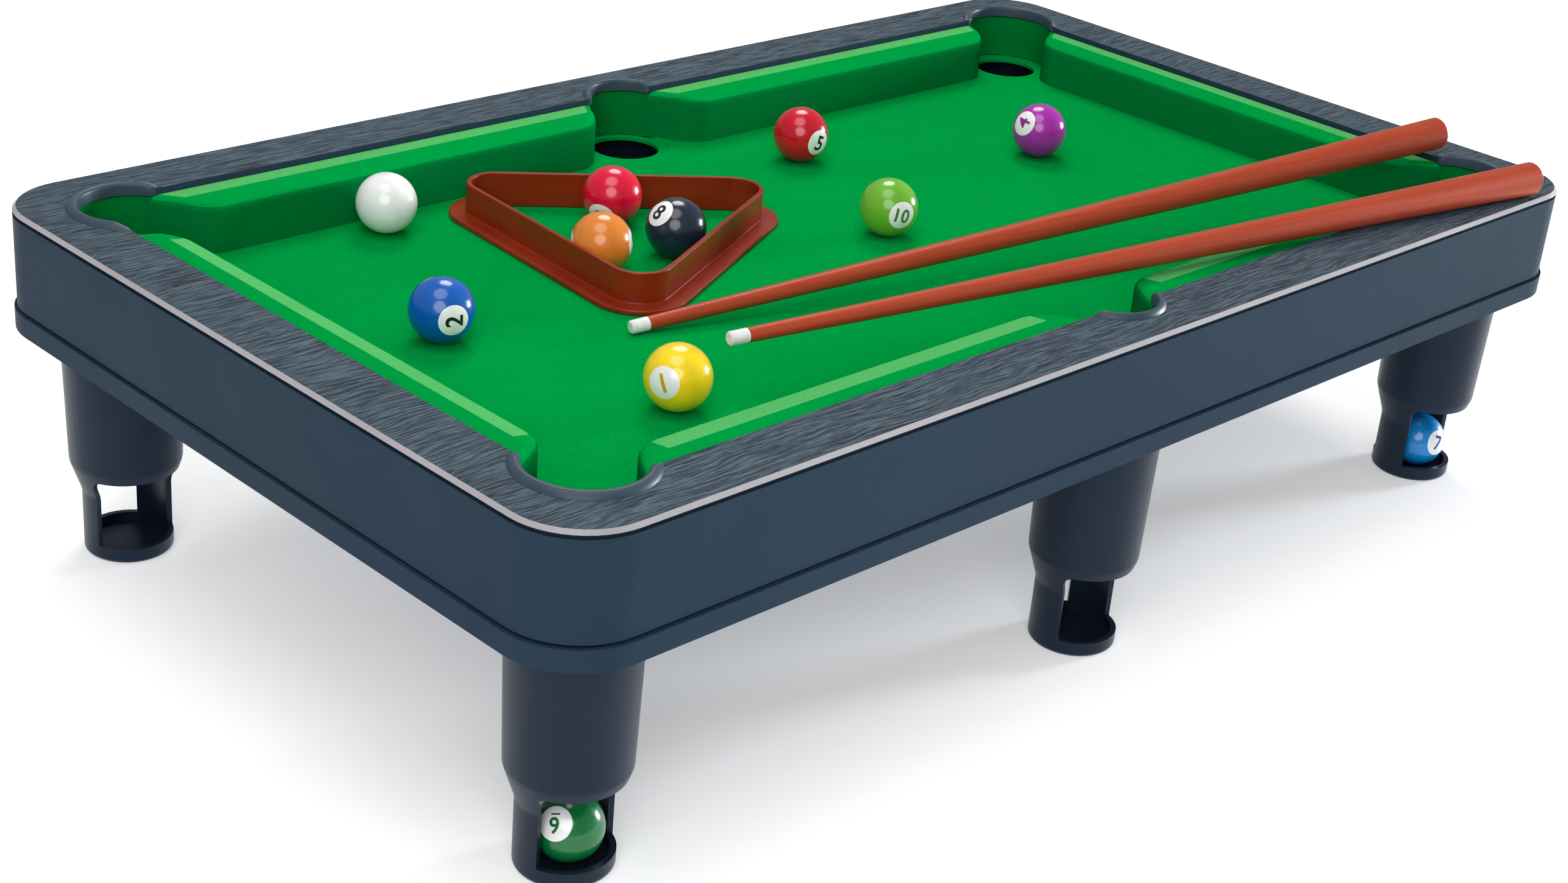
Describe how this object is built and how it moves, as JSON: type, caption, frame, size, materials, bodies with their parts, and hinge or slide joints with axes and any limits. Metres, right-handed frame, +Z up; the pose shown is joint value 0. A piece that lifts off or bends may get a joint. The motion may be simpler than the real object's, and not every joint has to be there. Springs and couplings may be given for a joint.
{
  "type": "mini pool table",
  "caption": "Table-top pool table on six hollow window legs, with flocked bed, cushions and pockets, numbered balls, a triangular rack and two cues.",
  "frame": {"origin": "on the floor, under the middle of the table", "axes": "+X along the table, +Y across it towards the back rail, +Z up"},
  "size_m": [0.382, 0.225, 0.1052],
  "materials": {
    "case_plastic": "satin, wood grain moulded into the top face",
    "collar_plastic": "smooth satin",
    "leg_plastic": "smooth semi-gloss",
    "flock": "green flock",
    "screw_steel": "zinc plated",
    "rack_plastic": "red-brown, glossy",
    "cue_shaft": "red-brown, satin lacquer",
    "cue_ferrule": "white",
    "cue_tip": "white, matt",
    "cue_ball": "polished",
    "ball_1": "polished",
    "ball_2": "polished",
    "ball_3": "polished",
    "ball_4": "polished",
    "ball_5": "polished",
    "ball_6": "polished",
    "ball_7": "polished",
    "ball_8": "polished",
    "ball_9": "polished",
    "ball_10": "polished"
  },
  "bodies": {
    "table": {"top_frame": "case_plastic", "base_cover": "case_plastic", "case_screws": "screw_steel", "bed_panel": "flock", "cushion_back_left": "flock", "cushion_back_right": "flock", "cushion_front_left": "flock", "cushion_front_right": "flock", "cushion_end_left": "flock", "cushion_end_right": "flock", "pocket_wall_back_left": "flock", "pocket_wall_back_middle": "flock", "pocket_wall_back_right": "flock", "pocket_wall_front_left": "flock", "pocket_wall_front_middle": "flock", "pocket_wall_front_right": "flock", "pocket_collar_back_left": "collar_plastic", "pocket_collar_back_middle": "collar_plastic", "pocket_collar_back_right": "collar_plastic", "pocket_collar_front_left": "collar_plastic", "pocket_collar_front_middle": "collar_plastic", "pocket_collar_front_right": "collar_plastic", "leg_back_left": "leg_plastic", "leg_back_middle": "leg_plastic", "leg_back_right": "leg_plastic", "leg_front_left": "leg_plastic", "leg_front_middle": "leg_plastic", "leg_front_right": "leg_plastic"},
    "cue_ball": {"cue_ball": "cue_ball"},
    "ball_1": {"ball_1": "ball_1"},
    "ball_2": {"ball_2": "ball_2"},
    "ball_3": {"ball_3": "ball_3"},
    "ball_4": {"ball_4": "ball_4"},
    "ball_5": {"ball_5": "ball_5"},
    "ball_6": {"ball_6": "ball_6"},
    "ball_7": {"ball_7": "ball_7"},
    "ball_8": {"ball_8": "ball_8"},
    "ball_9": {"ball_9": "ball_9"},
    "ball_10": {"ball_10": "ball_10"},
    "rack": {"rack": "rack_plastic"},
    "cue_a": {"cue_a_shaft": "cue_shaft", "cue_a_ferrule": "cue_ferrule", "cue_a_tip": "cue_tip"},
    "cue_b": {"cue_b_shaft": "cue_shaft", "cue_b_ferrule": "cue_ferrule", "cue_b_tip": "cue_tip"}
  },
  "joints": [
    {"name": "cue_ball_lift", "type": "slide", "parent": "table", "child": "cue_ball", "axis": [0, 0, 1], "range_m": [0, 0.06]},
    {"name": "ball_1_lift", "type": "slide", "parent": "table", "child": "ball_1", "axis": [0, 0, 1], "range_m": [0, 0.06]},
    {"name": "ball_2_lift", "type": "slide", "parent": "table", "child": "ball_2", "axis": [0, 0, 1], "range_m": [0, 0.06]},
    {"name": "ball_3_lift", "type": "slide", "parent": "table", "child": "ball_3", "axis": [0, 0, 1], "range_m": [0, 0.06]},
    {"name": "ball_4_lift", "type": "slide", "parent": "table", "child": "ball_4", "axis": [0, 0, 1], "range_m": [0, 0.06]},
    {"name": "ball_5_lift", "type": "slide", "parent": "table", "child": "ball_5", "axis": [0, 0, 1], "range_m": [0, 0.06]},
    {"name": "ball_6_lift", "type": "slide", "parent": "table", "child": "ball_6", "axis": [0, 0, 1], "range_m": [0, 0.06]},
    {"name": "ball_7_takes_out", "type": "slide", "parent": "table", "child": "ball_7", "axis": [0, -0.9397, 0.342], "range_m": [0, 0.045]},
    {"name": "ball_8_lift", "type": "slide", "parent": "table", "child": "ball_8", "axis": [0, 0, 1], "range_m": [0, 0.06]},
    {"name": "ball_9_takes_out", "type": "slide", "parent": "table", "child": "ball_9", "axis": [0, -0.9397, 0.342], "range_m": [0, 0.045]},
    {"name": "ball_10_lift", "type": "slide", "parent": "table", "child": "ball_10", "axis": [0, 0, 1], "range_m": [0, 0.06]},
    {"name": "rack_lift", "type": "slide", "parent": "table", "child": "rack", "axis": [0, 0, 1], "range_m": [0, 0.06]},
    {"name": "cue_a_lift", "type": "slide", "parent": "table", "child": "cue_a", "axis": [0, 0, 1], "range_m": [0, 0.06]},
    {"name": "cue_b_lift", "type": "slide", "parent": "table", "child": "cue_b", "axis": [0, 0, 1], "range_m": [0, 0.06]}
  ]
}
